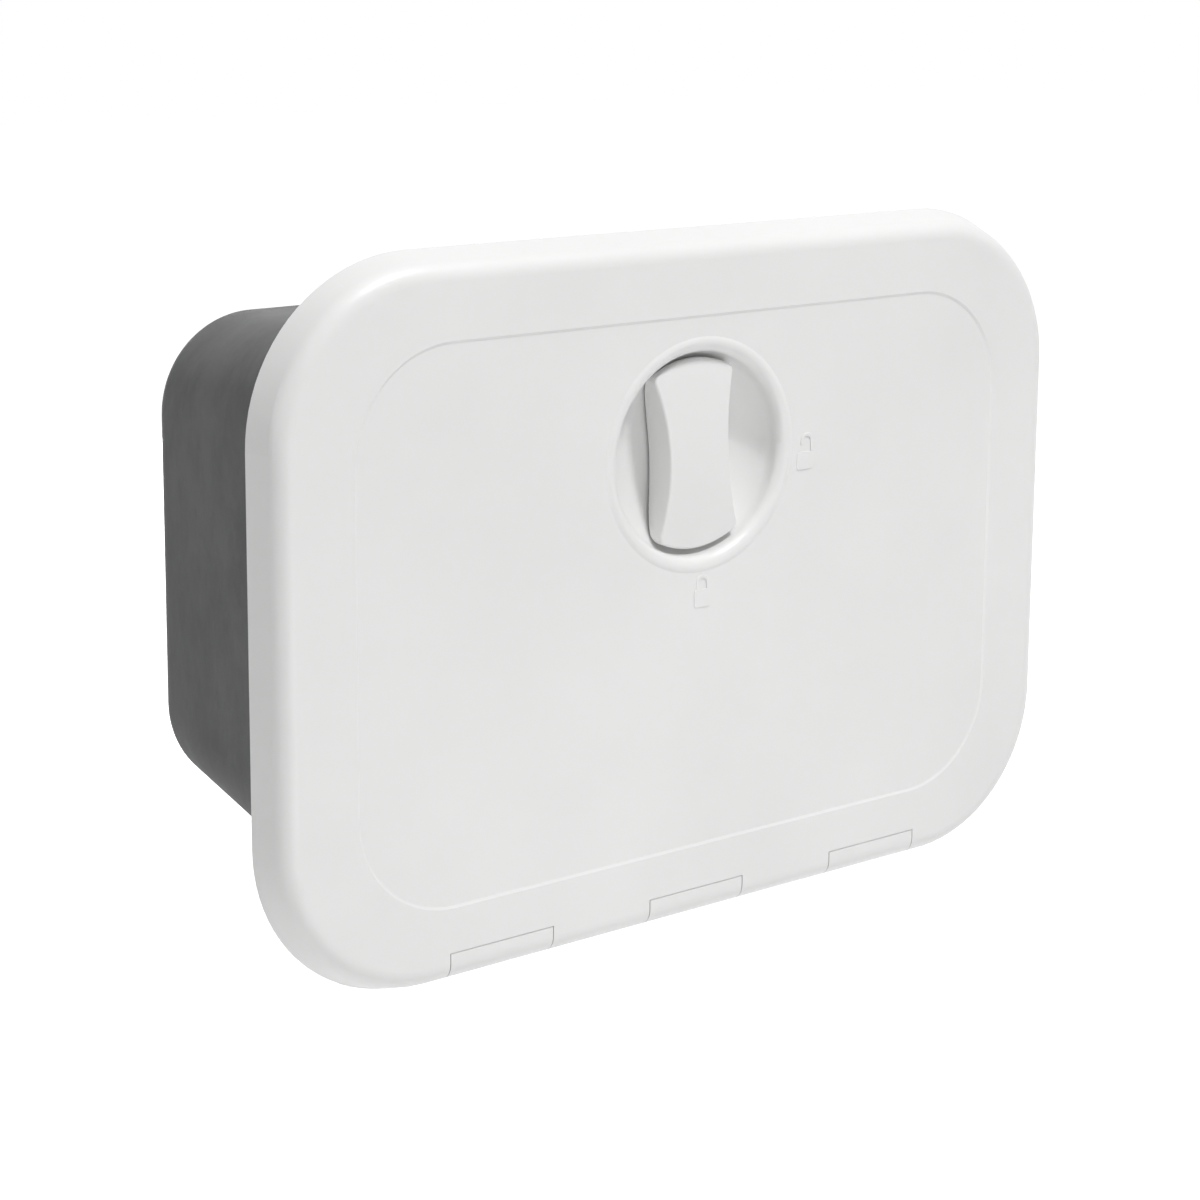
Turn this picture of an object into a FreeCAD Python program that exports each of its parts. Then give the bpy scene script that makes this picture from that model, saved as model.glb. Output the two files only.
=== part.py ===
import FreeCAD, Part
import math
import os

V = FreeCAD.Vector

# Hinged storage hatch with a bin behind it, in millimetres.
# X runs to the right, Z up and the front faces -Y. The origin is the centre of the
# frame's back face, which lies on the bulkhead at Y = 0. The bin lies behind it.

# Lid outline and skin
LID_WIDTH = 375.0
LID_HEIGHT = 270.0
LID_CORNER = 65.0
LID_PROUD = 15.0
LID_SIDE_DRAFT_DEG = 20.0
LID_EDGE_ROUND = 7.5
LID_SKIN = 3.5
LID_SKIRT = 3.0
LID_RIM_GAP = 0.5

# Recessed panel in the lid's face
PANEL_WIDTH = 306.0
PANEL_HEIGHT = 207.0
PANEL_CORNER = 41.0
PANEL_DEPTH = 0.6
PANEL_SLOPE = 2.0

# Stiffening ribs behind the lid
RIB_DEPTH = 2.7
RIB_THICKNESS = 1.8
RIB_PITCH_X = 34.0
RIB_PITCH_Z = 33.0
RIB_MARGIN = 3.0

# Round grip bowl in the lid
LATCH_Z = 50.0
BOWL_RADIUS = 39.1
BOWL_FLOOR_RADIUS = 14.0
BOWL_DEPTH = 15.0
BOWL_WALL = 2.5
BOWL_LIP_RADIUS = 4.1
BOWL_LIP_HEIGHT = 0.5
SLEEVE_RADIUS = 11.0
SLEEVE_LENGTH = 8.5

# Turning bar
BAR_GAP = 2.5
BAR_TURN_DEG = 3.0
BAR_FLOOR_GAP = 1.2
BAR_SUNK = 0.6
BAR_CROWN = 3.0
BAR_END_WIDTH = 38.5
BAR_WAIST_WIDTH = 28.4
BAR_CORNER_ROUND = 3.0
BAR_EDGE_ROUND = 1.0
BAR_WALL = 3.0
BAR_HUB_RADIUS = 11.0

# Latch shaft, cam and what holds them
SHAFT_RADIUS = 7.0
SHAFT_CLEARANCE = 0.08
SHAFT_SQUARE = 9.4
SQUARE_CLEARANCE = 0.05
CAM_THICKNESS = 3.0
CAM_WIDTH = 16.0
CAM_TIP_GAP = 1.6
CAM_HUB_RADIUS = 12.0
STOP_PIN_RADIUS = 2.2
STOP_PIN_REACH = 20.0
STOP_PIN_GAP = 0.3
SPRING_THICKNESS = 0.5
SPRING_HEIGHT = 1.2
SPRING_RADIUS = 10.6
THRUST_WASHER_RADIUS = 12.5
THRUST_WASHER_THICKNESS = 1.0
O_RING_SECTION = 1.9
O_RING_SEAT_DEPTH = 2.2
SCREW_RADIUS = 2.0
SCREW_LENGTH = 12.0
SCREW_END_GAP = 1.0
SCREW_HEAD_RADIUS = 4.0
SCREW_HEAD_HEIGHT = 2.6
SCREW_SLOT_WIDTH = 1.0
SCREW_SLOT_REACH = 2.4
CAM_WASHER_RADIUS = 7.5
CAM_WASHER_THICKNESS = 1.2
PLAY = 0.1

# Hinge along the bottom edge
HINGE_INSET = 9.0
HINGE_DEPTH = 5.5
HINGE_SPACING = 91.5
HINGE_BLOCK_WIDTH = 45.5
HINGE_SIDE_GAP = 0.4
BLOCK_RADIUS = 7.5
NOTCH_RADIUS = 7.9
LUG_RADIUS = 7.3
LUG_WIDTH = 10.0
CRADLE_RADIUS = 7.8
PIN_RADIUS = 1.5
PIN_PRESS_GAP = 0.02
PIN_RUNNING_GAP = 0.06
SNAP_SLOT = 2.6
LEDGE_HALF = 152.6
LEDGE_END_GAP = 0.4

# Frame
FLANGE_INSET = 8.0
FLANGE_THICKNESS = 3.5
COAMING_WIDTH = 6.0
COAMING_HEIGHT = 4.5
COLLAR_WALL = 2.5
COLLAR_DEPTH = 32.0
STRIKE_WIDTH = 32.0
STRIKE_DROP = 6.5
STRIKE_THICKNESS = 3.6
STRIKE_GAP = 0.6

# Lid seal in its channel
SEAL_CHANNEL_WIDTH = 3.0
SEAL_CHANNEL_DEPTH = 3.0
SEAL_SIDE_GAP = 0.2
SEAL_BULB_WIDTH = 4.6
SEAL_TOP_GAP = 0.3
SEAL_ROUND = 1.4

# Fixing holes through the flange
HOLE_RADIUS = 2.25
COUNTERSINK_RADIUS = 4.5
HOLE_INSET = 19.0
CORNER_HOLES_X = 140.0
CENTRE_HOLES_X = 46.0
SIDE_HOLES_Z = 45.0

# Storage bin
BIN_WIDTH = 313.0
BIN_HEIGHT = 212.0
BIN_DEPTH = 144.5
BIN_DRAFT_DEG = 4.0
BIN_FRONT_CORNER = 26.5
BIN_REAR_CORNER = 40.0
BIN_WALL = 2.5
BIN_EDGE_ROUND = 12.0
BIN_FIT_GAP = 0.25
BIN_GROOVE_DEPTH = 1.6
BIN_GROOVE_GAP = 0.2
BIN_SCREW_DEPTH = 22.0
BIN_SCREW_RADIUS = 1.5
BIN_SCREW_HEAD_RADIUS = 3.2
BIN_SCREW_HEAD_HEIGHT = 1.8
BIN_SCREW_LENGTH = 7.0
BIN_SCREWS_LONG_SIDE = 3
BIN_SCREWS_SHORT_SIDE = 2
BIN_SCREW_PITCH_X = 95.0
BIN_SCREW_PITCH_Z = 90.0

# Places that follow from the sizes
LID_FRONT = -LID_PROUD
LID_INSIDE = LID_FRONT + LID_SKIN
PANEL_FACE = LID_FRONT + PANEL_DEPTH
LID_BOTTOM = -LID_HEIGHT / 2
HINGE_Y = LID_FRONT + HINGE_DEPTH
HINGE_Z = LID_BOTTOM + HINGE_INSET
HINGE_CENTRES = (-HINGE_SPACING, 0.0, HINGE_SPACING)
BOWL_FLOOR = PANEL_FACE + BOWL_DEPTH
BOWL_BACK = BOWL_FLOOR + BOWL_WALL
SLEEVE_END = BOWL_BACK + SLEEVE_LENGTH
CAM_FRONT = SLEEVE_END + SPRING_HEIGHT + PLAY
CAM_BACK = CAM_FRONT + CAM_THICKNESS
BAR_FRONT = PANEL_FACE + BAR_SUNK
BAR_BACK = BOWL_FLOOR - BAR_FLOOR_GAP
BAR_REACH = BOWL_RADIUS - BAR_GAP
SLOPE = math.tan(math.radians(BIN_DRAFT_DEG))
COLLAR_INSET = BIN_WALL + BIN_FIT_GAP
MOUTH_INSET = COLLAR_INSET + COLLAR_WALL
CAM_REACH = BIN_HEIGHT / 2 - MOUTH_INSET - CAM_BACK * SLOPE - CAM_TIP_GAP - LATCH_Z
COAMING_FRONT = -FLANGE_THICKNESS - COAMING_HEIGHT
SIDE_SLOPE = math.tan(math.radians(LID_SIDE_DRAFT_DEG))

# How far a cut runs past a face, a joined piece sinks into its carrier and a long cut reaches
OVERRUN = 1.0
FAR = 400.0


def box(x0, x1, y0, y1, z0, z1):
    """Block between two corners."""
    return Part.makeBox(x1 - x0, y1 - y0, z1 - z0, V(x0, y0, z0))


def rod_x(radius, x0, x1, y=HINGE_Y, z=HINGE_Z):
    """Cylinder along X, by default on the hinge line."""
    return Part.makeCylinder(radius, x1 - x0, V(x0, y, z), V(1, 0, 0))


def rod_y(radius, y0, y1, x=0.0, z=LATCH_Z):
    """Cylinder along Y, by default on the latch's axis."""
    return Part.makeCylinder(radius, y1 - y0, V(x, y0, z), V(0, 1, 0))


def tube_y(outer, inner, y0, y1):
    """Ring around the latch's axis."""
    return rod_y(outer, y0, y1).cut(rod_y(inner, y0 - OVERRUN, y1 + OVERRUN))


def rounded_outline(width, height, radius, y):
    """Closed rounded rectangle, centred on the origin, in the plane at depth y."""
    straight_x = width / 2 - radius
    straight_z = height / 2 - radius
    arcs = []
    for turn, (side_x, side_z) in enumerate(((1, 1), (-1, 1), (-1, -1), (1, -1))):
        centre = V(side_x * straight_x, y, side_z * straight_z)
        points = []
        for step in range(3):
            angle = math.radians(90 * turn + 45 * step)
            points.append(centre + V(radius * math.cos(angle), 0, radius * math.sin(angle)))
        arcs.append(points)
    edges = []
    for index, points in enumerate(arcs):
        following = arcs[(index + 1) % 4]
        edges.append(Part.Arc(*points).toShape())
        edges.append(Part.LineSegment(points[2], following[0]).toShape())
    return Part.Wire(edges)


def slab(width, height, radius, y0, y1):
    """Rounded rectangle with straight walls from depth y0 to y1."""
    return Part.Face(rounded_outline(width, height, radius, y0)).extrude(V(0, y1 - y0, 0))


def edges_at(shape, y):
    """Edges that lie in the plane at depth y."""
    found = []
    for edge in shape.Edges:
        if all(abs(vertex.Y - y) < 1e-4 for vertex in edge.Vertexes):
            found.append(edge)
    return found


def turned(edges):
    """Solid turned about the latch's axis from a closed half section."""
    face = Part.Face(Part.Wire(Part.__sortEdges__(edges)))
    return face.revolve(V(0, 0, LATCH_Z), V(0, 1, 0), 360)


def at(radius, y):
    """Point of a half section beside the latch's axis."""
    return V(radius, y, LATCH_Z)


def line(start, end):
    return Part.LineSegment(start, end).toShape()


def chain(points):
    """Straight edges through the given points."""
    return [line(start, end) for start, end in zip(points, points[1:])]


def quarter_ellipse(radius, floor_radius, y_top, y_floor):
    """Wall of the bowl, upright at its top and level where it meets the floor."""
    centre = at(floor_radius, y_top)
    rim = at(radius, y_top)
    foot = at(floor_radius, y_floor)
    wide = radius - floor_radius > y_floor - y_top
    ellipse = Part.Ellipse(rim, foot, centre) if wide else Part.Ellipse(foot, rim, centre)
    start = ellipse.parameter(rim)
    end = ellipse.parameter(foot)
    if abs(end - start) > math.pi:
        start, end = (start + 2 * math.pi, end) if start < end else (start, end + 2 * math.pi)
    return Part.ArcOfEllipse(ellipse, min(start, end), max(start, end)).toShape()


def drafted(inset, edge_round, y_front, y_back):
    """Rounded rectangle that narrows to the front, with a round along its front edge."""
    sections = []
    for y in (y_front, y_back):
        drawn_in = inset - y * SIDE_SLOPE
        sections.append(rounded_outline(LID_WIDTH - 2 * drawn_in, LID_HEIGHT - 2 * drawn_in,
                                        LID_CORNER - drawn_in, y))
    body = Part.makeLoft(sections, True, True)
    return body.makeFillet(edge_round, edges_at(body, y_front))


def envelope(y_back):
    """Outer form of the closed hatch, from its rounded front back to the given depth."""
    return drafted(0.0, LID_EDGE_ROUND, LID_FRONT, y_back)


def bin_section(y, inset):
    """Cross-section of the tapered bin at depth y, drawn in by inset."""
    narrowing = 2 * (y * SLOPE + inset)
    radius = BIN_FRONT_CORNER + (BIN_REAR_CORNER - BIN_FRONT_CORNER) * y / BIN_DEPTH - inset
    return rounded_outline(BIN_WIDTH - narrowing, BIN_HEIGHT - narrowing, radius, y)


def tapered(y0, y1, inset):
    """Solid with the bin's taper between two depths."""
    return Part.makeLoft([bin_section(y0, inset), bin_section(y1, inset)], True, True)


def mouth_ring(inset_outer, inset_inner, y0, y1):
    """Upright ring around the mouth, measured from the bin's outline at the bulkhead."""
    rings = []
    for inset in (inset_outer, inset_inner):
        radius = BIN_FRONT_CORNER - inset
        rings.append(slab(BIN_WIDTH - 2 * inset, BIN_HEIGHT - 2 * inset, radius, y0, y1))
    return rings[0].cut(rings[1])


# Lid

def lid_shell():
    """Dished cover with a soft outer edge and an open back."""
    inside = drafted(LID_SKIRT, LID_EDGE_ROUND - LID_SKIRT, LID_INSIDE, OVERRUN)
    return envelope(-LID_RIM_GAP).cut(inside)


def panel_recess():
    """Shallow field in the lid's face with sloping sides."""
    sections = []
    for step in (-1, 1):
        spread = step * PANEL_SLOPE
        sections.append(rounded_outline(PANEL_WIDTH - spread, PANEL_HEIGHT - spread,
                                        PANEL_CORNER - spread / 2,
                                        LID_FRONT + step * PANEL_DEPTH))
    return Part.makeLoft(sections, True, True)


def lid_ribs():
    """Lattice of low ribs behind the lid, inside the frame's mouth."""
    inset = MOUTH_INSET + RIB_MARGIN
    field_x = BIN_WIDTH - 2 * inset
    field_z = BIN_HEIGHT - 2 * inset
    back = LID_INSIDE + RIB_DEPTH
    half = RIB_THICKNESS / 2
    ribs = []
    count_x = int(field_x / 2 / RIB_PITCH_X)
    for index in range(-count_x, count_x + 1):
        x = index * RIB_PITCH_X
        ribs.append(box(x - half, x + half, LID_INSIDE - OVERRUN, back, -FAR, FAR))
    count_z = int(field_z / 2 / RIB_PITCH_Z)
    for index in range(-count_z, count_z + 1):
        z = index * RIB_PITCH_Z
        ribs.append(box(-FAR, FAR, LID_INSIDE - OVERRUN, back, z - half, z + half))
    field = slab(field_x, field_z, BIN_FRONT_CORNER - inset, LID_INSIDE - OVERRUN, back)
    rim = slab(field_x - 2 * RIB_THICKNESS, field_z - 2 * RIB_THICKNESS,
               BIN_FRONT_CORNER - inset - RIB_THICKNESS, LID_INSIDE - 2 * OVERRUN, back + OVERRUN)
    lattice = ribs[0].multiFuse(ribs[1:]).common(field)
    return lattice.fuse(field.cut(rim))


def lip_section():
    """Crest of the raised lip and the place where it runs out into the panel."""
    crest = BOWL_RADIUS + BOWL_LIP_RADIUS
    crest_y = PANEL_FACE - BOWL_LIP_HEIGHT
    centre_y = crest_y + BOWL_LIP_RADIUS
    drop = BOWL_LIP_RADIUS - BOWL_LIP_HEIGHT
    foot = crest + math.sqrt(BOWL_LIP_RADIUS ** 2 - drop ** 2)
    return crest, crest_y, centre_y, foot


def lip_arc(crest, centre_y, start_deg, end_deg):
    """Part of the lip's round section, with 0 degrees outwards and 90 to the front."""
    points = []
    for step in range(3):
        angle = math.radians(start_deg + (end_deg - start_deg) * step / 2)
        points.append(at(crest + BOWL_LIP_RADIUS * math.cos(angle),
                         centre_y - BOWL_LIP_RADIUS * math.sin(angle)))
    return Part.Arc(*points).toShape()


def bowl_body():
    """Everything that the bowl adds behind and in front of the panel."""
    crest, crest_y, centre_y, foot = lip_section()
    foot_deg = math.degrees(math.acos((foot - crest) / BOWL_LIP_RADIUS))
    wall_radius = BOWL_RADIUS + BOWL_WALL
    root = at(foot, PANEL_FACE + OVERRUN)
    edges = chain([at(wall_radius, centre_y), at(foot, centre_y), root, at(foot, PANEL_FACE)])
    edges.append(lip_arc(crest, centre_y, foot_deg, 90))
    edges += chain([at(crest, crest_y), at(0, crest_y), at(0, BOWL_BACK),
                    at(BOWL_FLOOR_RADIUS, BOWL_BACK)])
    edges.append(quarter_ellipse(wall_radius, BOWL_FLOOR_RADIUS, centre_y, BOWL_BACK))
    return turned(edges).fuse(rod_y(SLEEVE_RADIUS, BOWL_BACK - OVERRUN, SLEEVE_END))


def bowl_space():
    """Open inside of the bowl, from its floor out past the lip."""
    crest, crest_y, centre_y, foot = lip_section()
    edges = [lip_arc(crest, centre_y, 90, 180)]
    edges.append(quarter_ellipse(BOWL_RADIUS, BOWL_FLOOR_RADIUS, centre_y, BOWL_FLOOR))
    edges += chain([at(BOWL_FLOOR_RADIUS, BOWL_FLOOR), at(0, BOWL_FLOOR),
                    at(0, crest_y - OVERRUN), at(crest, crest_y - OVERRUN), at(crest, crest_y)])
    return turned(edges)


def stop_pins():
    """Two posts behind the bowl that end the cam's quarter turn."""
    side = CAM_WIDTH / 2 + STOP_PIN_RADIUS + STOP_PIN_GAP
    posts = []
    for x, z in ((side, STOP_PIN_REACH), (-STOP_PIN_REACH, -side)):
        posts.append(rod_y(STOP_PIN_RADIUS, BOWL_BACK - BOWL_WALL / 2, CAM_FRONT + CAM_THICKNESS / 2,
                           x, LATCH_Z + z))
    return posts


def lug_spans():
    """Start and end along X of the two lugs beside each hinge block."""
    spans = []
    for centre in HINGE_CENTRES:
        for side in (-1, 1):
            near = centre + side * (HINGE_BLOCK_WIDTH / 2 + HINGE_SIDE_GAP)
            far = near + side * LUG_WIDTH
            spans.append((min(near, far), max(near, far)))
    return spans


def hinge_lugs():
    """Round lugs behind the lid's bottom edge, one on each side of each hinge block."""
    outer = envelope(0.0)
    return [outer.common(rod_x(LUG_RADIUS, x0, x1)) for x0, x1 in lug_spans()]


def pin_room():
    """Bore in each lug, open at the back so that the lug snaps over the pin."""
    room = []
    for x0, x1 in lug_spans():
        room.append(rod_x(PIN_RADIUS + PIN_RUNNING_GAP, x0 - HINGE_SIDE_GAP, x1 + HINGE_SIDE_GAP))
        room.append(box(x0, x1, HINGE_Y, HINGE_Y + 2 * LUG_RADIUS,
                        HINGE_Z - SNAP_SLOT / 2, HINGE_Z + SNAP_SLOT / 2))
    return room


def make_lid():
    lid = lid_shell()
    ledge_room = box(-LEDGE_HALF - LEDGE_END_GAP, LEDGE_HALF + LEDGE_END_GAP,
                     HINGE_Y, OVERRUN, LID_BOTTOM - OVERRUN, HINGE_Z + 2 * LUG_RADIUS)
    lid = lid.cut(ledge_room.cut(rod_x(LUG_RADIUS, -FAR, FAR)))
    for centre in HINGE_CENTRES:
        half = HINGE_BLOCK_WIDTH / 2 + HINGE_SIDE_GAP
        lid = lid.cut(rod_x(NOTCH_RADIUS, centre - half, centre + half))
    lid = lid.fuse(hinge_lugs() + [lid_ribs()])
    lid = lid.cut(pin_room())
    lid = lid.cut(panel_recess())
    lid = lid.fuse([bowl_body()] + stop_pins())
    lid = lid.cut(bowl_space())
    lid = lid.cut(rod_y(SHAFT_RADIUS + SHAFT_CLEARANCE, BOWL_FLOOR - OVERRUN,
                        SLEEVE_END + OVERRUN))
    return lid


# Latch

def bar_outline(y, inset=0.0):
    """Waisted outline of the bar, with ends that are round about the latch's axis."""
    reach = BAR_REACH - inset
    end_half = BAR_END_WIDTH / 2 - inset
    waist = BAR_WAIST_WIDTH / 2 - inset
    corner_z = math.sqrt(reach ** 2 - end_half ** 2)
    round_trip = ((end_half, -corner_z), (waist, 0.0), (end_half, corner_z), (0.0, reach),
                  (-end_half, corner_z), (-waist, 0.0), (-end_half, -corner_z), (0.0, -reach),
                  (end_half, -corner_z))
    points = [V(x, y, LATCH_Z + z) for x, z in round_trip]
    arcs = zip(points[0::2], points[1::2], points[2::2])
    return Part.Wire([Part.Arc(*arc).toShape() for arc in arcs])


def bar_prism(y0, y1, inset=0.0):
    """Waisted block between two depths."""
    return Part.Face(bar_outline(y0, inset)).extrude(V(0, y1 - y0, 0))


def crowned_block(inset):
    """Barrel along X whose front gives the bar its gentle crown, drawn in by inset."""
    radius = (BAR_REACH ** 2 + BAR_CROWN ** 2) / (2 * BAR_CROWN)
    return rod_x(radius - inset, -BAR_END_WIDTH, BAR_END_WIDTH, BAR_FRONT + radius, LATCH_Z)


def bar_body():
    """Outer form of the bar, with round corners, a crowned front and soft front edges."""
    floor = BOWL_FLOOR_RADIUS - BAR_GAP / 2
    top = BAR_FRONT + BAR_CROWN + 2 * BAR_EDGE_ROUND
    front = BAR_FRONT - OVERRUN
    edges = [quarter_ellipse(BAR_REACH, floor, top, BAR_BACK)]
    edges += chain([at(floor, BAR_BACK), at(0, BAR_BACK), at(0, front), at(BAR_REACH, front),
                    at(BAR_REACH, top)])
    plan = bar_prism(front, BAR_BACK + OVERRUN)
    upright = [edge for edge in plan.Edges
               if abs(edge.Vertexes[0].Y - edge.Vertexes[-1].Y) > BOWL_DEPTH / 2]
    plan = plan.makeFillet(BAR_CORNER_ROUND, upright)
    body = plan.common(turned(edges)).common(crowned_block(0.0))
    crown = min(body.Faces, key=lambda face: face.CenterOfMass.y)
    return body.makeFillet(BAR_EDGE_ROUND, crown.Edges)


def bar_core():
    """Hollow behind the bar's front, around its hub."""
    core = bar_prism(BAR_FRONT, BAR_BACK + OVERRUN, BAR_WALL).common(crowned_block(BAR_WALL))
    return core.cut(rod_y(BAR_HUB_RADIUS, BAR_FRONT, BAR_BACK + 2 * OVERRUN))


def make_latch_handle():
    """Bar, slightly turned on its shaft, with the shaft's seat, square and screw bore."""
    bar = bar_body().cut(bar_core())
    bar.rotate(V(0, 0, LATCH_Z), V(0, 1, 0), -BAR_TURN_DEG)
    bar = bar.fuse(rod_y(SHAFT_RADIUS, BAR_BACK - OVERRUN, CAM_FRONT))
    seat = tube_y(SHAFT_RADIUS + OVERRUN, SHAFT_RADIUS - O_RING_SEAT_DEPTH,
                  o_ring_centre() - O_RING_SECTION / 2 - PLAY,
                  o_ring_centre() + O_RING_SECTION / 2 + PLAY)
    bar = bar.cut(seat)
    half = SHAFT_SQUARE / 2
    square = box(-half, half, CAM_FRONT - OVERRUN, CAM_BACK - PLAY, LATCH_Z - half, LATCH_Z + half)
    bar = bar.fuse(square)
    return bar.cut(rod_y(SCREW_RADIUS, CAM_BACK - SCREW_LENGTH, CAM_BACK + OVERRUN))


def o_ring_centre():
    """Depth of the sealing ring, half way along the lid's sleeve."""
    return (BOWL_FLOOR + SLEEVE_END) / 2


def make_handle_o_ring():
    inner = SHAFT_RADIUS - O_RING_SEAT_DEPTH + SQUARE_CLEARANCE
    ring_radius = inner + O_RING_SECTION / 2
    return Part.makeTorus(ring_radius, O_RING_SECTION / 2, V(0, o_ring_centre(), LATCH_Z),
                          V(0, 1, 0))


def make_thrust_washer():
    return tube_y(THRUST_WASHER_RADIUS, SHAFT_RADIUS + 2 * PLAY,
                  BAR_BACK + PLAY, BAR_BACK + PLAY + THRUST_WASHER_THICKNESS)


def make_disc_spring():
    """Coned washer that takes up the play between the sleeve and the cam."""
    inner = SHAFT_RADIUS + 2 * PLAY
    front = SLEEVE_END + PLAY
    back = CAM_FRONT - PLAY
    edges = chain([at(inner, front), at(inner, front + SPRING_THICKNESS), at(SPRING_RADIUS, back),
                   at(SPRING_RADIUS, back - SPRING_THICKNESS), at(inner, front)])
    return turned(edges)


def make_latch_cam():
    """Flat tongue with a square hole, pointing up behind the strike."""
    half = CAM_WIDTH / 2
    tip = box(-half, half, CAM_FRONT, CAM_BACK, LATCH_Z, LATCH_Z + CAM_REACH)
    corners = [edge for edge in tip.Edges if all(v.Z > LATCH_Z for v in edge.Vertexes)
               and all(v.X == edge.Vertexes[0].X for v in edge.Vertexes)]
    tip = tip.makeFillet(half / 2, corners)
    cam = tip.fuse(rod_y(CAM_HUB_RADIUS, CAM_FRONT, CAM_BACK))
    hole = SHAFT_SQUARE / 2 + SQUARE_CLEARANCE
    return cam.cut(box(-hole, hole, CAM_FRONT - OVERRUN, CAM_BACK + OVERRUN,
                       LATCH_Z - hole, LATCH_Z + hole))


def make_cam_washer():
    return tube_y(CAM_WASHER_RADIUS, SCREW_RADIUS + PLAY, CAM_BACK, CAM_BACK + CAM_WASHER_THICKNESS)


def make_cam_screw():
    seat = CAM_BACK + CAM_WASHER_THICKNESS
    head = rod_y(SCREW_HEAD_RADIUS, seat, seat + SCREW_HEAD_HEIGHT)
    head = head.makeFillet(SCREW_HEAD_HEIGHT / 2, edges_at(head, seat + SCREW_HEAD_HEIGHT))
    screw = head.fuse(rod_y(SCREW_RADIUS, CAM_BACK - SCREW_LENGTH + SCREW_END_GAP, seat + OVERRUN))
    top = seat + SCREW_HEAD_HEIGHT + OVERRUN
    half = SCREW_SLOT_WIDTH / 2
    slot = box(-SCREW_HEAD_RADIUS, SCREW_HEAD_RADIUS, seat + SCREW_HEAD_HEIGHT / 2, top,
               LATCH_Z - half, LATCH_Z + half)
    cross = slot.copy()
    cross.rotate(V(0, 0, LATCH_Z), V(0, 1, 0), 90)
    reach = rod_y(SCREW_SLOT_REACH, seat, top)
    return screw.cut(slot.fuse(cross).common(reach))


# Frame

def hinge_block(outer, centre):
    """Hinge knuckle on the frame, flush with the lid's rounded edge."""
    x0 = centre - HINGE_BLOCK_WIDTH / 2
    x1 = centre + HINGE_BLOCK_WIDTH / 2
    web = box(x0, x1, HINGE_Y, 0.0, LID_BOTTOM - OVERRUN, HINGE_Z + BLOCK_RADIUS)
    knuckle = rod_x(BLOCK_RADIUS, x0, x1).fuse(web)
    knuckle = knuckle.common(outer)
    return knuckle.cut(rod_x(PIN_RADIUS + PIN_PRESS_GAP, x0 - OVERRUN, x1 + OVERRUN))


def bottom_ledge(outer):
    """Foot of the frame below the hinge line, hollowed for the lid's turning edge."""
    low = box(-LEDGE_HALF, LEDGE_HALF, HINGE_Y, 0.0, LID_BOTTOM - OVERRUN, HINGE_Z)
    plate = box(-LEDGE_HALF, LEDGE_HALF, -FLANGE_THICKNESS, 0.0, LID_BOTTOM - OVERRUN,
                LID_BOTTOM + 2 * FLANGE_INSET)
    return low.fuse(plate).common(outer)


def fixing_hole(x, z):
    """Countersunk hole through the flange."""
    sink_depth = COUNTERSINK_RADIUS - HOLE_RADIUS
    start = -FLANGE_THICKNESS - OVERRUN
    hole = rod_y(HOLE_RADIUS, start, OVERRUN, x, z)
    sink = Part.makeCone(COUNTERSINK_RADIUS + OVERRUN, HOLE_RADIUS, sink_depth + OVERRUN,
                         V(x, start, z), V(0, 1, 0))
    return hole.fuse(sink)


def fixing_holes():
    holes = []
    for side_x in (-1, 1):
        for side_z in (-1, 1):
            row_z = side_z * (LID_HEIGHT / 2 - HOLE_INSET)
            holes.append(fixing_hole(side_x * CORNER_HOLES_X, row_z))
            holes.append(fixing_hole(side_x * CENTRE_HOLES_X, row_z))
            holes.append(fixing_hole(side_x * (LID_WIDTH / 2 - HOLE_INSET), side_z * SIDE_HOLES_Z))
    return holes


def strike():
    """Lip under the top of the mouth that the cam closes behind."""
    back = CAM_FRONT - STRIKE_GAP
    mouth_top = BIN_HEIGHT / 2 - MOUTH_INSET
    half = STRIKE_WIDTH / 2
    lip = box(-half, half, back - STRIKE_THICKNESS, back,
              mouth_top - STRIKE_DROP, mouth_top + COLLAR_WALL / 2)
    ends = [edge for edge in lip.Edges
            if all(v.Z < mouth_top - STRIKE_DROP / 2 for v in edge.Vertexes)]
    return lip.makeFillet(STRIKE_THICKNESS / 3, ends)


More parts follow.
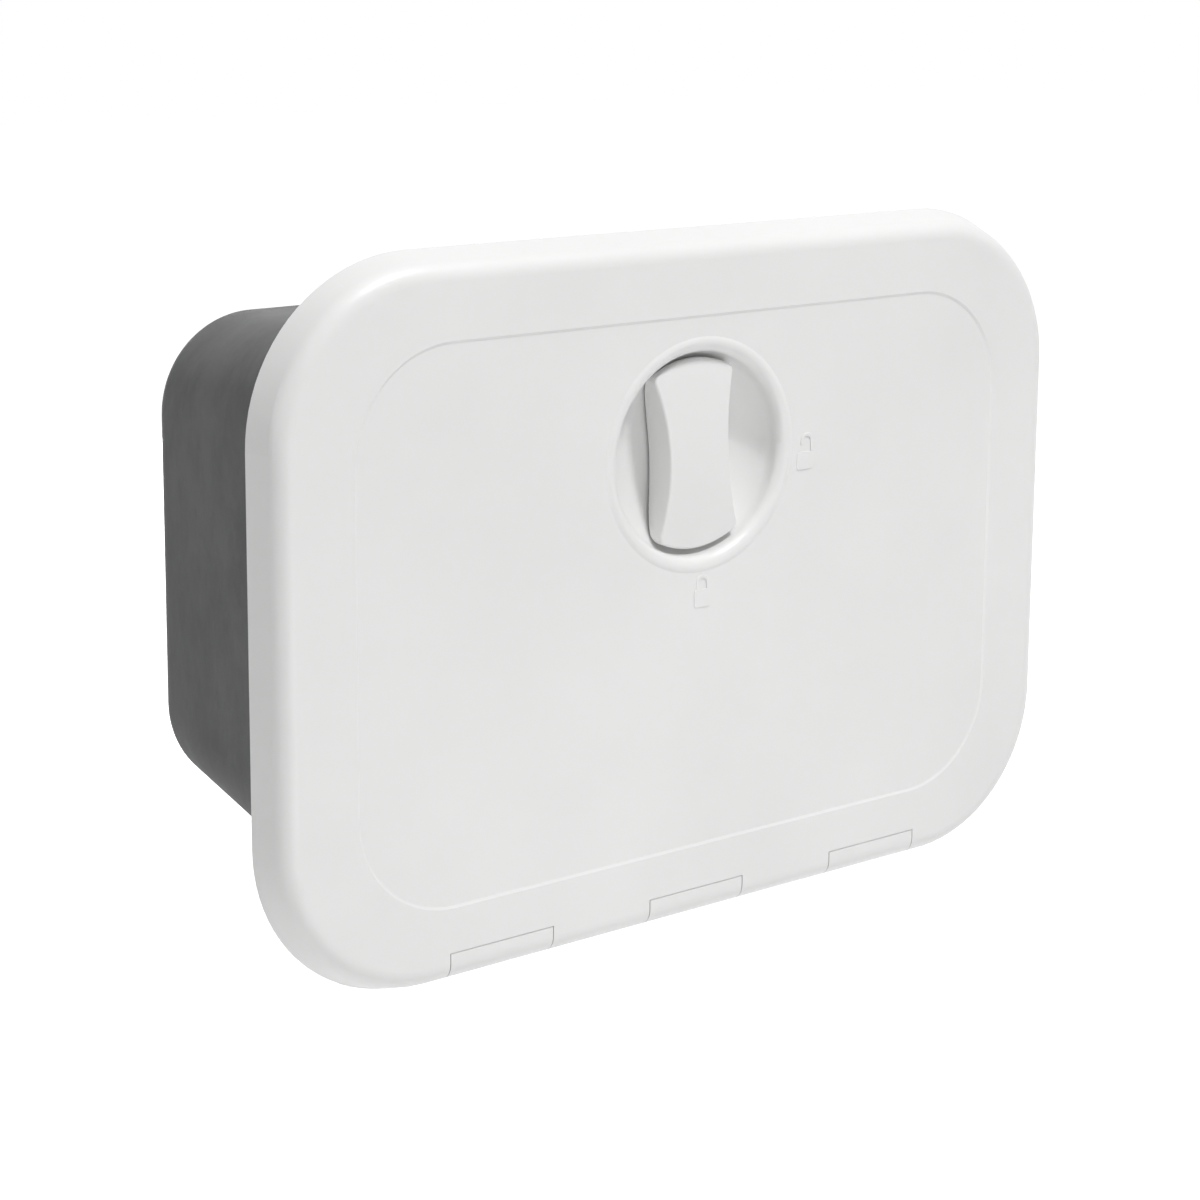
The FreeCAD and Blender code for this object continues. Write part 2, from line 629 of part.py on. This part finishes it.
def make_frame():
    outer = envelope(0.0)
    flange = slab(LID_WIDTH - 2 * FLANGE_INSET, LID_HEIGHT - 2 * FLANGE_INSET,
                  LID_CORNER - FLANGE_INSET, -FLANGE_THICKNESS, 0.0)
    coaming = slab(BIN_WIDTH - 2 * (MOUTH_INSET - COAMING_WIDTH),
                   BIN_HEIGHT - 2 * (MOUTH_INSET - COAMING_WIDTH),
                   BIN_FRONT_CORNER - MOUTH_INSET + COAMING_WIDTH, COAMING_FRONT, -OVERRUN)
    frame = flange.fuse([coaming, bottom_ledge(outer)])
    frame = frame.cut(rod_x(CRADLE_RADIUS, -FAR, FAR))
    frame = frame.fuse([hinge_block(outer, centre) for centre in HINGE_CENTRES])
    frame = frame.fuse(tapered(-OVERRUN, COLLAR_DEPTH, COLLAR_INSET))
    groove = tapered(-BIN_GROOVE_DEPTH, OVERRUN, -BIN_FIT_GAP)
    groove = groove.cut(tapered(-BIN_GROOVE_DEPTH - OVERRUN, 2 * OVERRUN, COLLAR_INSET))
    frame = frame.cut(groove)
    mouth_front = slab(BIN_WIDTH - 2 * MOUTH_INSET, BIN_HEIGHT - 2 * MOUTH_INSET,
                       BIN_FRONT_CORNER - MOUTH_INSET, COAMING_FRONT - OVERRUN, 0.0)
    frame = frame.cut(mouth_front)
    frame = frame.cut(tapered(-OVERRUN, COLLAR_DEPTH + OVERRUN, MOUTH_INSET))
    middle = MOUTH_INSET - COAMING_WIDTH / 2
    channel = mouth_ring(middle - SEAL_CHANNEL_WIDTH / 2, middle + SEAL_CHANNEL_WIDTH / 2,
                         COAMING_FRONT - OVERRUN, COAMING_FRONT + SEAL_CHANNEL_DEPTH)
    frame = frame.cut(channel)
    frame = frame.fuse(strike())
    frame = frame.cut(fixing_holes())
    return frame.cut(bin_screw_bores())


def make_lid_seal():
    """Rubber ring in the coaming's channel with a round-edged bulb under the lid."""
    middle = MOUTH_INSET - COAMING_WIDTH / 2
    foot_half = SEAL_CHANNEL_WIDTH / 2 - SEAL_SIDE_GAP
    foot = mouth_ring(middle - foot_half, middle + foot_half,
                      COAMING_FRONT - OVERRUN, COAMING_FRONT + SEAL_CHANNEL_DEPTH - SEAL_SIDE_GAP)
    bulb_half = SEAL_BULB_WIDTH / 2
    top = LID_INSIDE + SEAL_TOP_GAP
    bulb = mouth_ring(middle - bulb_half, middle + bulb_half, top, COAMING_FRONT - SEAL_SIDE_GAP)
    bulb = bulb.makeFillet(SEAL_ROUND, edges_at(bulb, top))
    return bulb.fuse(foot)


def make_hinge_pin(centre):
    half = HINGE_BLOCK_WIDTH / 2 + LUG_WIDTH
    return rod_x(PIN_RADIUS, centre - half, centre + half)


# Bin

def bin_screw_places():
    """Place and outward direction of each screw, on the bin's outer wall."""
    places = []
    top = BIN_HEIGHT / 2 - BIN_SCREW_DEPTH * SLOPE
    side = BIN_WIDTH / 2 - BIN_SCREW_DEPTH * SLOPE
    for index in range(BIN_SCREWS_LONG_SIDE):
        x = (index - (BIN_SCREWS_LONG_SIDE - 1) / 2) * BIN_SCREW_PITCH_X
        for way in (-1, 1):
            places.append((V(x, BIN_SCREW_DEPTH, way * top), V(0, SLOPE, way)))
    for index in range(BIN_SCREWS_SHORT_SIDE):
        z = (index - (BIN_SCREWS_SHORT_SIDE - 1) / 2) * BIN_SCREW_PITCH_Z
        for way in (-1, 1):
            places.append((V(way * side, BIN_SCREW_DEPTH, z), V(way, SLOPE, 0)))
    return places


def bin_screw_bores():
    """Holes through the bin's wall and the collar for the screws."""
    bores = []
    for point, outward in bin_screw_places():
        direction = outward.normalize()
        start = point - direction * (BIN_SCREW_LENGTH + OVERRUN)
        bores.append(Part.makeCylinder(BIN_SCREW_RADIUS, BIN_SCREW_LENGTH + 2 * OVERRUN,
                                       start, direction))
    return bores


def make_bin_screws():
    """Small round-head screws that hold the bin on the collar."""
    screws = []
    for point, outward in bin_screw_places():
        direction = outward.normalize()
        shank = Part.makeCylinder(BIN_SCREW_RADIUS, BIN_SCREW_LENGTH + OVERRUN,
                                  point - direction * BIN_SCREW_LENGTH, direction)
        head = Part.makeCylinder(BIN_SCREW_HEAD_RADIUS, BIN_SCREW_HEAD_HEIGHT, point, direction)
        crown = max(head.Edges, key=lambda edge: edge.CenterOfMass.dot(direction))
        head = head.makeFillet(BIN_SCREW_HEAD_HEIGHT / 2, [crown])
        screws.append(head.fuse(shank))
    return Part.makeCompound(screws)


def make_storage_bin():
    front = -BIN_GROOVE_DEPTH + BIN_GROOVE_GAP
    outside = tapered(front, BIN_DEPTH, 0.0)
    outside = outside.makeFillet(BIN_EDGE_ROUND, edges_at(outside, BIN_DEPTH))
    inner_back = BIN_DEPTH - BIN_WALL
    inside = tapered(front - OVERRUN, inner_back, BIN_WALL)
    inside = inside.makeFillet(BIN_EDGE_ROUND - BIN_WALL, edges_at(inside, inner_back))
    return outside.cut(inside).cut(bin_screw_bores())


def build():
    """All pieces of the hatch by name."""
    pieces = {
        "frame": make_frame(),
        "lid_seal": make_lid_seal(),
        "storage_bin": make_storage_bin(),
        "bin_screws": make_bin_screws(),
        "lid": make_lid(),
        "latch_handle": make_latch_handle(),
        "handle_o_ring": make_handle_o_ring(),
        "thrust_washer": make_thrust_washer(),
        "disc_spring": make_disc_spring(),
        "latch_cam": make_latch_cam(),
        "cam_washer": make_cam_washer(),
        "cam_screw": make_cam_screw(),
    }
    for side, centre in zip(("left", "middle", "right"), HINGE_CENTRES):
        pieces["hinge_pin_" + side] = make_hinge_pin(centre)
    return pieces


os.makedirs("parts", exist_ok=True)
for name, shape in build().items():
    shape = shape.removeSplitter()
    shape.exportStep("parts/" + name + ".step")
    size = shape.BoundBox
    print(name, "solids", len(shape.Solids), "valid", shape.isValid(), "volume", round(shape.Volume),
          "box", round(size.XLength, 1), round(size.YLength, 1), round(size.ZLength, 1))
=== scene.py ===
import math

import bmesh
import bpy
from mathutils import Matrix, Vector


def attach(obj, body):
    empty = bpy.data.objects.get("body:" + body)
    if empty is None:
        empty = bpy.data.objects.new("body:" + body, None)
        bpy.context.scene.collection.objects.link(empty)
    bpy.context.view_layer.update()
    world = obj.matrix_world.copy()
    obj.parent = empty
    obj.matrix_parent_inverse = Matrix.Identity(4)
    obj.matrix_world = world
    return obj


# Hinged storage hatch with a bin behind it, in metres.
# X runs to the right, Z up and the front faces -Y. The lid's rim has its face at Y = -0.015, and
# the panel field lies 0.6 mm behind it.

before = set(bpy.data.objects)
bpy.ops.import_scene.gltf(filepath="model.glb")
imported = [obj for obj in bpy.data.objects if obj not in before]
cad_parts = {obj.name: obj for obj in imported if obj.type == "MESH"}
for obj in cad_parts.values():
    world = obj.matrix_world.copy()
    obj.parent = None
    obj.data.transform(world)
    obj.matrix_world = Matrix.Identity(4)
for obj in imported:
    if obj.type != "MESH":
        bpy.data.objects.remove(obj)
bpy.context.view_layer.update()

# Camera of the photograph
CAMERA_PLACE = (-0.6217, -0.7725, 0.2454)
CAMERA_YAW = math.radians(37.115)
CAMERA_PITCH = math.radians(10.102)
CAMERA_ROLL = math.radians(0.375)
CAMERA_LENS = 79.71
CAMERA_SENSOR = 36.0
CAMERA_SHIFT_Y = -1 / 6

# Lamps that face the origin. A level of 1 there makes a surface that faces the lamp as bright as
# its own colour. A small key lamp gives the edge of the bar's shadow, the rest are broad.
LAMPS = {
    "top": {"place": (0.0, -0.1, 1.9), "size": 1.3, "level": 0.18},
    "key": {"place": (0.30, -0.85, 1.70), "size": 0.25, "level": 0.60},
    "low": {"place": (-0.05, -0.62, -0.28), "size": 0.4, "level": 0.26},
    "left": {"place": (-1.60, -0.35, 0.35), "size": 0.9, "level": 0.10},
    "back": {"place": (0.40, 1.80, 0.10), "size": 1.0, "level": 0.45},
}
AMBIENT_LEVEL = 0.30
BACKDROP_LEVEL = 1.0

# Floor
FLOOR_Z = -0.300
FLOOR_HALF = 6.0
FLOOR_COLOUR = (0.82, 0.82, 0.82)
FLOOR_ROUGHNESS = 0.9
FLOOR_GLOW = 0.76

# Colours, linear
WHITE = (0.80, 0.80, 0.795)
BIN_DARK = (0.119, 0.120, 0.121)
BIN_LIGHT = (0.154, 0.155, 0.156)
RUBBER = (0.020, 0.020, 0.021)
STEEL = (0.60, 0.60, 0.59)
NYLON = (0.045, 0.045, 0.047)

# Padlock signs: places are X and Z of the middle of the body's top edge
PANEL_FACE = -0.0144
CLOSED_SIGN_PLACE = (0.0012, -0.0018)
OPEN_SIGN_PLACE = (0.0516, 0.0456)
LOCK_WIDTH = 0.0080
LOCK_BODY_HEIGHT = 0.0070
LOCK_CORNER = 0.0011
LOCK_SHACKLE_RADIUS = 0.0025
LOCK_SHACKLE_WIRE = 0.0011
CLOSED_SHACKLE_LEGS = (0.0026, 0.0026)
OPEN_SHACKLE_LEGS = (0.0016, 0.0044)
OPEN_SHACKLE_SHIFT = 0.0009
CORNER_STEPS = 5
BOW_STEPS = 16

# Relief of the signs: how far it is rooted in the panel, how far it stands out, and how far its
# outline has drawn in at each share of that height
SIGN_ROOT = 0.0001
SIGN_RELIEF = 0.00035
SIGN_EDGE = ((0.55, 0.0), (0.9, 0.00008), (1.0, 0.00020))


# Materials

def colour(rgb, factor=1.0):
    """Colour with alpha, made lighter or darker by a factor."""
    return (*(min(1.0, channel * factor) for channel in rgb), 1.0)


class Recipe:
    """Node material that is built step by step in the part's own coordinates."""

    def __init__(self, name):
        self.material = bpy.data.materials.new(name)
        self.material.use_nodes = True
        self.nodes = self.material.node_tree.nodes
        self.links = self.material.node_tree.links
        self.shader = self.nodes["Principled BSDF"]
        self.place = self.nodes.new("ShaderNodeTexCoord").outputs["Object"]

    def put(self, socket, value):
        """Links a socket to another node's output, or sets it to a plain value."""
        if isinstance(value, bpy.types.NodeSocket):
            self.links.new(value, socket)
        else:
            socket.default_value = value

    def stretched(self, stretch):
        """Coordinates scaled by a different amount along each axis."""
        mapping = self.nodes.new("ShaderNodeMapping")
        mapping.inputs["Scale"].default_value = stretch
        self.links.new(self.place, mapping.inputs["Vector"])
        return mapping.outputs["Vector"]

    def noise(self, scale, detail, roughness, stretch=None, distortion=0.0):
        """Cloudy noise with about scale patches in each metre."""
        node = self.nodes.new("ShaderNodeTexNoise")
        self.put(node.inputs["Vector"], self.stretched(stretch) if stretch else self.place)
        for name, number in (("Scale", scale), ("Detail", detail), ("Roughness", roughness),
                             ("Distortion", distortion)):
            node.inputs[name].default_value = number
        return node.outputs["Fac"]

    def cells(self, scale):
        """Distance from the middle of each of about scale cells in each metre."""
        node = self.nodes.new("ShaderNodeTexVoronoi")
        self.put(node.inputs["Vector"], self.place)
        node.inputs["Scale"].default_value = scale
        return node.outputs["Distance"]

    def spread(self, value, low, high, to_low=0.0, to_high=1.0):
        """Value mapped from one range to another and held at its ends."""
        node = self.nodes.new("ShaderNodeMapRange")
        self.put(node.inputs["Value"], value)
        for name, number in (("From Min", low), ("From Max", high),
                             ("To Min", to_low), ("To Max", to_high)):
            node.inputs[name].default_value = number
        return node.outputs["Result"]

    def maths(self, operation, first, second):
        node = self.nodes.new("ShaderNodeMath")
        node.operation = operation
        self.put(node.inputs[0], first)
        self.put(node.inputs[1], second)
        return node.outputs["Value"]

    def mixed(self, first, second, share):
        """Two values added up, the first with its share and the second with the rest."""
        return self.maths("ADD", self.maths("MULTIPLY", first, share),
                          self.maths("MULTIPLY", second, 1.0 - share))

    def blend(self, share, first, second):
        """Colour between first and second."""
        node = self.nodes.new("ShaderNodeMix")
        node.data_type = "RGBA"
        self.put(node.inputs["Factor"], share)
        self.put(node.inputs["A"], first)
        self.put(node.inputs["B"], second)
        return node.outputs["Result"]

    def bump(self, height, distance, below=None):
        """Normal of a surface that is raised by up to distance, on top of the bump below."""
        node = self.nodes.new("ShaderNodeBump")
        node.inputs["Strength"].default_value = 1.0
        node.inputs["Distance"].default_value = distance
        self.put(node.inputs["Height"], height)
        if below is not None:
            self.links.new(below, node.inputs["Normal"])
        return node.outputs["Normal"]

    def finish(self, **sockets):
        """Fills the shader's sockets, named with _ for a space, and returns the material."""
        for name, value in sockets.items():
            self.put(self.shader.inputs[name.replace("_", " ")], value)
        return self.material


def white_plastic():
    """Satin white moulded plastic with a fine spark-eroded grain and faint handling marks."""
    r = Recipe("white_plastic")
    cloud = r.noise(scale=9.0, detail=3.0, roughness=0.55)
    base = r.blend(r.spread(cloud, 0.35, 0.65), colour(WHITE, 0.975), colour(WHITE, 1.015))
    smear = r.noise(scale=26.0, detail=4.0, roughness=0.6, distortion=0.6)
    gloss = r.spread(smear, 0.3, 0.7, to_low=0.30, to_high=0.40)
    fine = r.noise(scale=2600.0, detail=2.0, roughness=0.6)
    broad = r.noise(scale=22.0, detail=1.0, roughness=0.4)
    normal = r.bump(broad, 0.00010, below=r.bump(fine, 0.000012))
    return r.finish(Base_Color=base, Roughness=gloss, Normal=normal, IOR=1.49)


def bin_plastic():
    """Dull grey moulded plastic with cloudy streaks down its walls."""
    r = Recipe("bin_plastic")
    streak = r.noise(scale=95.0, detail=4.0, roughness=0.65, stretch=(1.0, 1.0, 0.5),
                     distortion=0.2)
    cloud = r.noise(scale=34.0, detail=5.0, roughness=0.65, stretch=(1.0, 1.0, 0.6),
                    distortion=0.3)
    share = r.spread(r.mixed(streak, cloud, 0.45), 0.41, 0.59)
    base = r.blend(share, colour(BIN_DARK), colour(BIN_LIGHT))
    gloss = r.spread(streak, 0.3, 0.7, to_low=0.70, to_high=0.84)
    fine = r.noise(scale=1500.0, detail=3.0, roughness=0.6)
    broad = r.noise(scale=18.0, detail=2.0, roughness=0.5)
    normal = r.bump(broad, 0.00035, below=r.bump(fine, 0.00003))
    return r.finish(Base_Color=base, Roughness=gloss, Normal=normal, IOR=1.46,
                    Specular_IOR_Level=0.25)


def seal_rubber():
    """Black sponge rubber with a dusty bloom."""
    r = Recipe("seal_rubber")
    bloom = r.noise(scale=160.0, detail=4.0, roughness=0.6)
    base = r.blend(r.spread(bloom, 0.4, 0.75), colour(RUBBER), colour(RUBBER, 2.2))
    gloss = r.spread(bloom, 0.3, 0.7, to_low=0.70, to_high=0.85)
    return r.finish(Base_Color=base, Roughness=gloss, Normal=r.bump(r.cells(1400.0), 0.00006))


def stainless(name, stretch):
    """Stainless steel with fine drawn lines along one axis."""
    r = Recipe(name)
    lines = r.noise(scale=900.0, detail=3.0, roughness=0.6, stretch=stretch)
    base = r.blend(r.spread(lines, 0.3, 0.7), colour(STEEL, 0.86), colour(STEEL, 1.06))
    gloss = r.spread(lines, 0.3, 0.7, to_low=0.22, to_high=0.36)
    return r.finish(Base_Color=base, Metallic=1.0, Roughness=gloss, Normal=r.bump(lines, 0.00001))


def nylon():
    """Dark glass-filled nylon with a dry, speckled face."""
    r = Recipe("nylon")
    fibre = r.noise(scale=1100.0, detail=4.0, roughness=0.65, stretch=(1.0, 1.0, 0.35))
    base = r.blend(r.spread(fibre, 0.4, 0.8), colour(NYLON), colour(NYLON, 2.0))
    gloss = r.spread(fibre, 0.3, 0.7, to_low=0.48, to_high=0.62)
    return r.finish(Base_Color=base, Roughness=gloss, Normal=r.bump(fibre, 0.00004))


def dress(material, nodes):
    """Gives nodes of the frame their material."""
    for node in nodes:
        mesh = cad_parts[node].data
        mesh.materials.clear()
        mesh.materials.append(material)


# Padlock signs

def arc_points(centre, radius, start_deg, end_deg, steps):
    points = []
    for step in range(steps + 1):
        angle = math.radians(start_deg + (end_deg - start_deg) * step / steps)
        points.append((centre[0] + radius * math.cos(angle),
                       centre[1] + radius * math.sin(angle)))
    return points


def lock_body():
    """Outline of the lock's body, centred sideways, with its top at height 0."""
    points = []
    for turn, (side_x, side_z) in enumerate(((1, 0), (-1, 0), (-1, -1), (1, -1))):
        centre_x = side_x * (LOCK_WIDTH / 2 - LOCK_CORNER)
        centre_z = -LOCK_CORNER if side_z == 0 else LOCK_CORNER - LOCK_BODY_HEIGHT
        points += arc_points((centre_x, centre_z), LOCK_CORNER, 90 * turn, 90 * turn + 90,
                             CORNER_STEPS)
    return points


def lock_bow(leg_left, leg_right):
    """Outline of the lock's bow, with legs of the given lengths."""
    outer = LOCK_SHACKLE_RADIUS + LOCK_SHACKLE_WIRE / 2
    inner = LOCK_SHACKLE_RADIUS - LOCK_SHACKLE_WIRE / 2
    top = max(leg_left, leg_right)
    points = [(outer, top - leg_right), (outer, top)]
    points += arc_points((0.0, top), outer, 0, 180, BOW_STEPS)
    points += [(-outer, top - leg_left), (-inner, top - leg_left)]
    points += arc_points((0.0, top), inner, 180, 0, BOW_STEPS)
    points += [(inner, top - leg_right)]
    return points


def relief(bm, outline, centre_x, centre_z):
    """Raised flat pad over an outline on the lid's panel, with a soft upper edge."""
    middle = Vector((sum(x for x, z in outline) / len(outline),
                     sum(z for x, z in outline) / len(outline)))
    levels = [(-SIGN_ROOT, 0.0)]
    levels += [(share * SIGN_RELIEF, shrink) for share, shrink in SIGN_EDGE]
    rings = []
    for proud, shrink in levels:
        ring = []
        for x, z in outline:
            away = Vector((x, z)) - middle
            step = away.normalized() * min(shrink, away.length)
            ring.append(bm.verts.new((centre_x + x - step.x, PANEL_FACE - proud,
                                      centre_z + z - step.y)))
        rings.append(ring)
    for low, high in zip(rings, rings[1:]):
        for index in range(len(outline)):
            after = (index + 1) % len(outline)
            bm.faces.new((low[index], low[after], high[after], high[index]))
    bm.faces.new(rings[-1])


def padlock(name, place, legs, shift, material):
    """Small raised padlock pictogram on the lid, with its bow shifted sideways."""
    x, z = place
    bm = bmesh.new()
    relief(bm, lock_body(), x, z)
    relief(bm, lock_bow(*legs), x + shift, z)
    bmesh.ops.recalc_face_normals(bm, faces=bm.faces)
    sign = new_object(name, bm, material)
    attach(sign, "lid")


# Stage

def new_object(name, bm, material):
    """Object with the finished mesh of bm, in the scene."""
    mesh = bpy.data.meshes.new(name)
    bm.to_mesh(mesh)
    bm.free()
    mesh.materials.append(material)
    thing = bpy.data.objects.new(name, mesh)
    bpy.context.scene.collection.objects.link(thing)
    return thing


def any_direct_look(nodes, links):
    """1 for rays from the camera and for rays that mirror or pass through, 0 for the rest."""
    path = nodes.new("ShaderNodeLightPath")
    value = path.outputs["Is Camera Ray"]
    for name in ("Is Glossy Ray", "Is Transmission Ray"):
        larger = nodes.new("ShaderNodeMath")
        larger.operation = "MAXIMUM"
        links.new(value, larger.inputs[0])
        links.new(path.outputs[name], larger.inputs[1])
        value = larger.outputs["Value"]
    return value


def make_world():
    """White where it is looked at, and a soft even light for the rest."""
    world = bpy.data.worlds.new("studio")
    bpy.context.scene.world = world
    world.use_nodes = True
    nodes = world.node_tree.nodes
    links = world.node_tree.links
    background = nodes["Background"]
    background.inputs["Color"].default_value = (1.0, 1.0, 1.0, 1.0)
    level = nodes.new("ShaderNodeMapRange")
    links.new(any_direct_look(nodes, links), level.inputs["Value"])
    level.inputs["To Min"].default_value = AMBIENT_LEVEL
    level.inputs["To Max"].default_value = BACKDROP_LEVEL
    links.new(level.outputs["Result"], background.inputs["Strength"])


def make_floor():
    """Pale floor whose glow makes it white where it is looked at and no shadow falls."""
    bm = bmesh.new()
    corners = [bm.verts.new((x * FLOOR_HALF, y * FLOOR_HALF, FLOOR_Z))
               for x, y in ((-1, -1), (1, -1), (1, 1), (-1, 1))]
    bm.faces.new(corners)
    r = Recipe("floor")
    glow = r.maths("MULTIPLY", any_direct_look(r.nodes, r.links), FLOOR_GLOW)
    material = r.finish(Base_Color=colour(FLOOR_COLOUR), Roughness=FLOOR_ROUGHNESS,
                        Emission_Color=(1.0, 1.0, 1.0, 1.0), Emission_Strength=glow)
    new_object("floor", bm, material)


def make_lamp(name, place, size, level):
    """Square lamp that faces the origin, with its level given at the origin."""
    data = bpy.data.lights.new(name, "AREA")
    data.shape = "SQUARE"
    data.size = size
    data.energy = level * math.pi ** 2 * Vector(place).length_squared
    lamp = bpy.data.objects.new(name, data)
    lamp.location = place
    lamp.rotation_mode = "QUATERNION"
    lamp.rotation_quaternion = (-Vector(place)).to_track_quat("-Z", "Y")
    bpy.context.scene.collection.objects.link(lamp)


def make_camera():
    data = bpy.data.cameras.new("camera")
    data.sensor_width = CAMERA_SENSOR
    data.lens = CAMERA_LENS
    data.shift_y = CAMERA_SHIFT_Y
    camera = bpy.data.objects.new("camera", data)
    turn = Matrix.Rotation(-CAMERA_YAW, 4, "Z")
    turn = turn @ Matrix.Rotation(math.pi / 2 - CAMERA_PITCH, 4, "X")
    turn = turn @ Matrix.Rotation(CAMERA_ROLL, 4, "Z")
    camera.matrix_world = Matrix.Translation(CAMERA_PLACE) @ turn
    bpy.context.scene.collection.objects.link(camera)
    bpy.context.scene.camera = camera


make_camera()
make_world()
make_floor()
for lamp_name, lamp_values in LAMPS.items():
    make_lamp(lamp_name, **lamp_values)
bpy.context.scene.view_settings.view_transform = "Standard"

white = white_plastic()
dress(white, ("frame", "lid", "latch_handle"))
dress(bin_plastic(), ("storage_bin",))
dress(seal_rubber(), ("lid_seal", "handle_o_ring"))
dress(stainless("stainless_drawn_x", (0.06, 1.0, 1.0)),
      ("hinge_pin_left", "hinge_pin_middle", "hinge_pin_right"))
dress(stainless("stainless_drawn_y", (1.0, 0.06, 1.0)),
      ("bin_screws", "disc_spring", "cam_washer", "cam_screw"))
dress(nylon(), ("thrust_washer", "latch_cam"))
padlock("padlock_closed", CLOSED_SIGN_PLACE, CLOSED_SHACKLE_LEGS, 0.0, white)
padlock("padlock_open", OPEN_SIGN_PLACE, OPEN_SHACKLE_LEGS, OPEN_SHACKLE_SHIFT, white)
